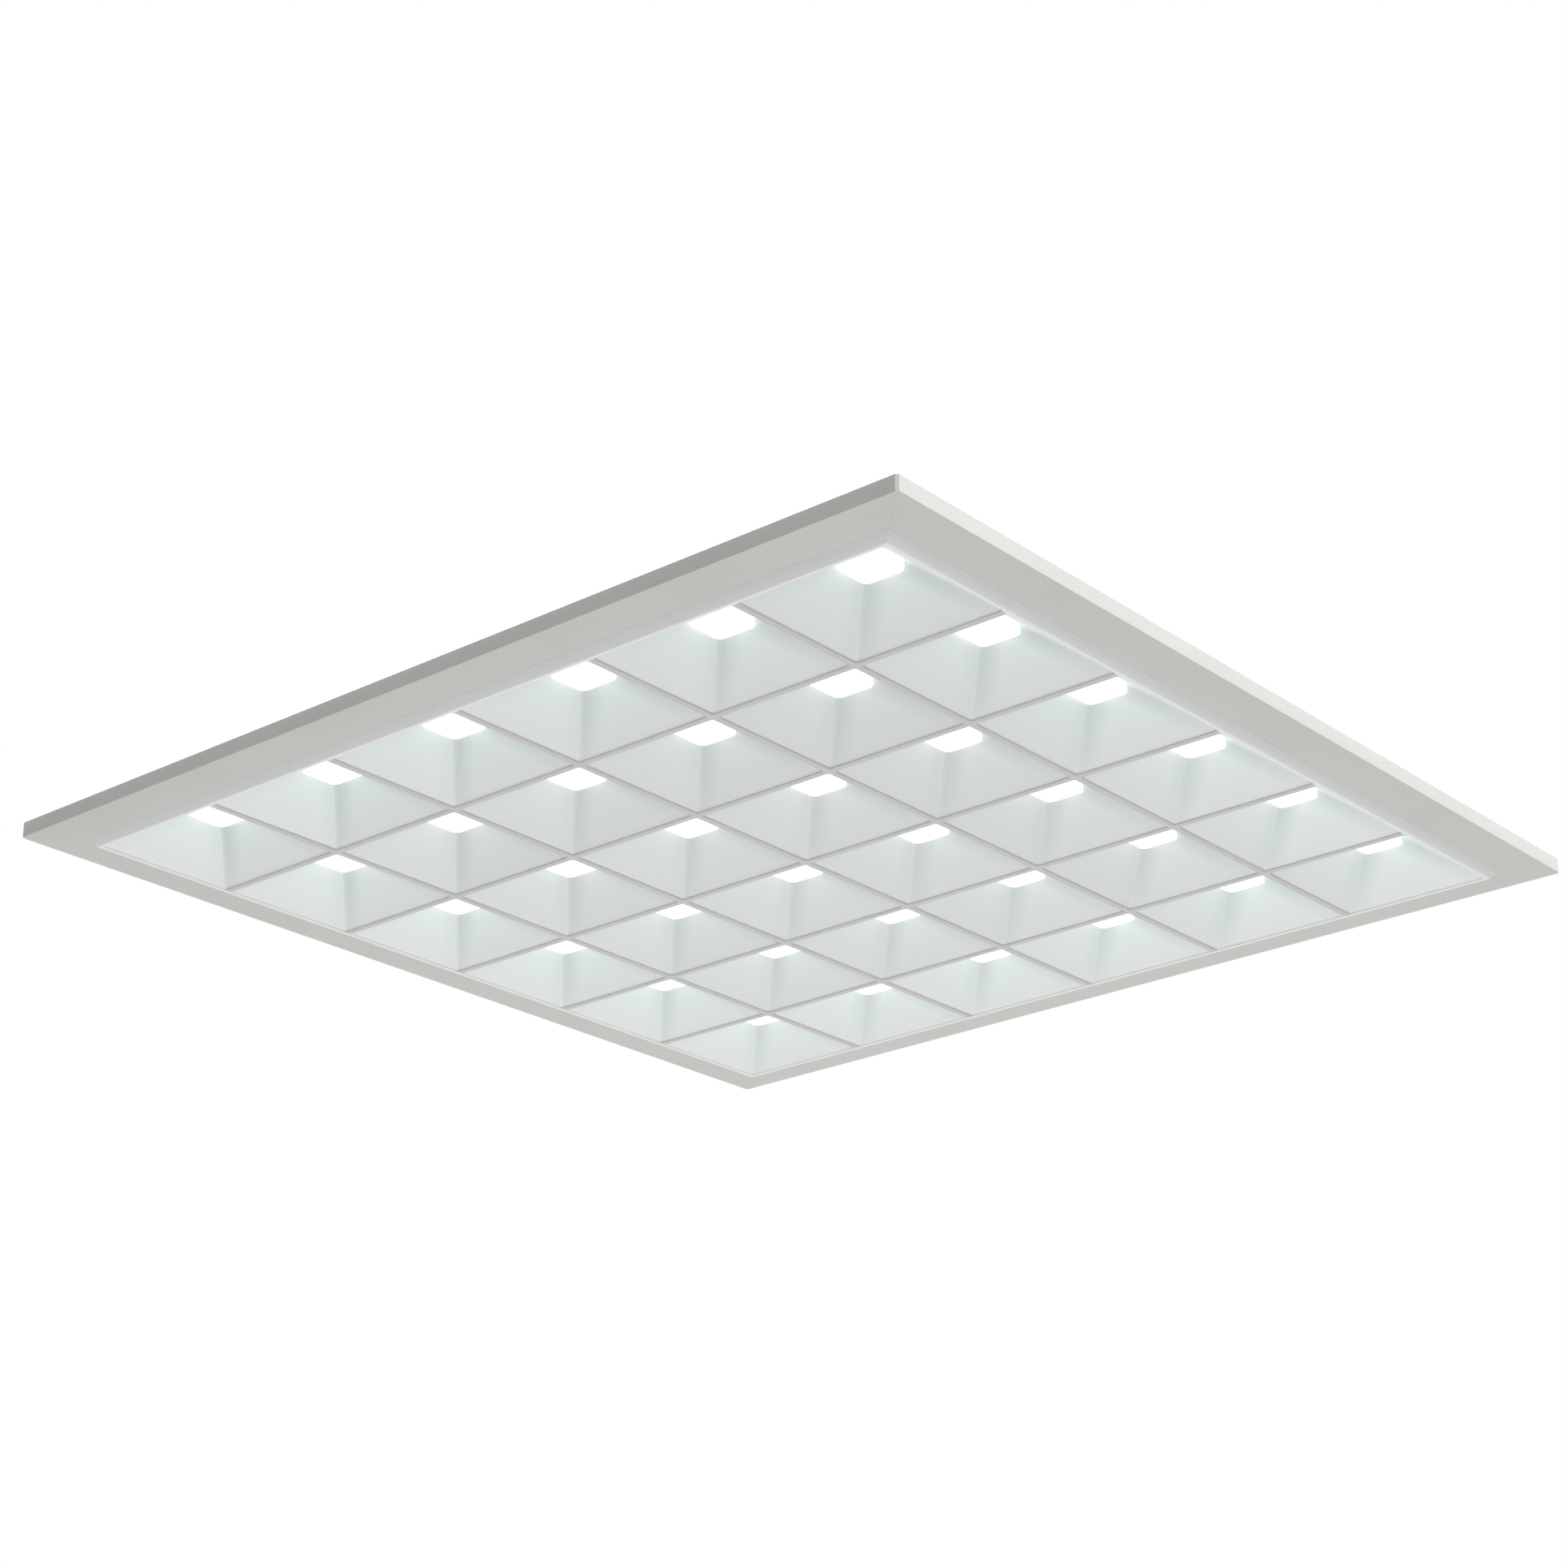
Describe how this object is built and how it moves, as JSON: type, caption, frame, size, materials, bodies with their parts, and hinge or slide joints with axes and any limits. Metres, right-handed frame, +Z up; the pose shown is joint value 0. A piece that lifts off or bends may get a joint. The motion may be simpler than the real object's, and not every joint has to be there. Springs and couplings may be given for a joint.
{
  "type": "recessed troffer light",
  "caption": "Square recessed ceiling light: flat frame, white egg-crate louvre of flared cells with lit lens windows, stamped back pan, gear box with hinged lid and swing-out grid clips.",
  "frame": {"origin": "middle of the opening, level with the lower face of the flange that rests on the ceiling grid", "axes": "+Z up into the ceiling, so the light shines towards -Z; +X towards the cable gland; +Y from the lid's hinge across the gear box"},
  "size_m": [0.595, 0.595, 0.0562],
  "materials": {
    "white_frame": "satin white powder coat",
    "zinc_key": "zinc plated",
    "white_louvre": "matt white moulding",
    "grey_foam": "closed-cell foam",
    "opal_lens": "opal diffuser, lit",
    "lamp_board": "white solder resist",
    "lamp_package": "phosphor fill",
    "white_connector": "moulded, satin",
    "red_lead": "insulated wire",
    "mains_lead": "insulated wire",
    "black_rubber": "soft rubber",
    "white_steel": "white coil-coated steel",
    "gear_steel": "white coil-coated steel",
    "zinc_screw": "zinc plated",
    "brass_screw": "plain brass",
    "bare_rivet": "bare aluminium",
    "driver_case": "moulded, satin",
    "orange_button": "moulded, satin",
    "grey_gland": "moulded nylon",
    "clip_steel": "galvanised spring steel"
  },
  "bodies": {
    "housing": {"frame_rail_front": "white_frame", "frame_rail_right": "white_frame", "frame_rail_back": "white_frame", "frame_rail_left": "white_frame", "corner_keys": "zinc_key", "louvre": "white_louvre", "louvre_gasket": "grey_foam", "lens_row_1": "opal_lens", "lens_row_2": "opal_lens", "lens_row_3": "opal_lens", "lens_row_4": "opal_lens", "lens_row_5": "opal_lens", "lens_row_6": "opal_lens", "led_board_1": "lamp_board", "led_board_2": "lamp_board", "led_board_3": "lamp_board", "led_board_4": "lamp_board", "led_board_5": "lamp_board", "led_board_6": "lamp_board", "led_packages": "lamp_package", "board_connectors": "white_connector", "feed_splice": "white_connector", "terminal_block": "white_connector", "link_wires": "red_lead", "output_leads": "red_lead", "mains_leads": "mains_lead", "outlet_grommet": "black_rubber", "back_pan": "white_steel", "gear_tray": "gear_steel", "driver_cover": "gear_steel", "compartment_divider": "gear_steel", "pan_screws": "zinc_screw", "ear_screws": "zinc_screw", "driver_screws": "zinc_screw", "hanger_inserts": "zinc_screw", "hinge_pin": "zinc_screw", "earth_screw": "brass_screw", "board_rivets": "bare_rivet", "clip_rivets": "bare_rivet", "led_driver": "driver_case", "cable_gland": "grey_gland", "gland_nut": "grey_gland"},
    "wiring_lid": {"wiring_lid": "gear_steel"},
    "release_button_1": {"release_button_1": "orange_button"},
    "release_button_2": {"release_button_2": "orange_button"},
    "release_button_3": {"release_button_3": "orange_button"},
    "grid_clip_1": {"grid_clip_1": "clip_steel"},
    "grid_clip_2": {"grid_clip_2": "clip_steel"},
    "grid_clip_3": {"grid_clip_3": "clip_steel"},
    "grid_clip_4": {"grid_clip_4": "clip_steel"}
  },
  "joints": [
    {"name": "lid_hinge", "type": "hinge", "parent": "housing", "child": "wiring_lid", "pos_m": [0.108, -0.0412, 0.0493], "axis": [1, 0, 0], "range_deg": [0, 110]},
    {"name": "button_1_press", "type": "slide", "parent": "housing", "child": "release_button_1", "axis": [0, 0, -1], "range_m": [0, 0.0012], "stiffness_N_per_m": 500, "springref_m": -0.001},
    {"name": "button_2_press", "type": "slide", "parent": "housing", "child": "release_button_2", "axis": [0, 0, -1], "range_m": [0, 0.0012], "stiffness_N_per_m": 500, "springref_m": -0.001},
    {"name": "button_3_press", "type": "slide", "parent": "housing", "child": "release_button_3", "axis": [0, 0, -1], "range_m": [0, 0.0012], "stiffness_N_per_m": 500, "springref_m": -0.001},
    {"name": "clip_1_swing", "type": "hinge", "parent": "housing", "child": "grid_clip_1", "pos_m": [-0.2325, -0.0896, 0.0257], "axis": [0, 0, -1], "range_deg": [0, 90]},
    {"name": "clip_2_swing", "type": "hinge", "parent": "housing", "child": "grid_clip_2", "pos_m": [-0.2325, 0.0896, 0.0257], "axis": [0, 0, 1], "range_deg": [0, 90]},
    {"name": "clip_3_swing", "type": "hinge", "parent": "housing", "child": "grid_clip_3", "pos_m": [0.2325, -0.0896, 0.0257], "axis": [0, 0, 1], "range_deg": [0, 90]},
    {"name": "clip_4_swing", "type": "hinge", "parent": "housing", "child": "grid_clip_4", "pos_m": [0.2325, 0.0896, 0.0257], "axis": [0, 0, -1], "range_deg": [0, 90]}
  ]
}
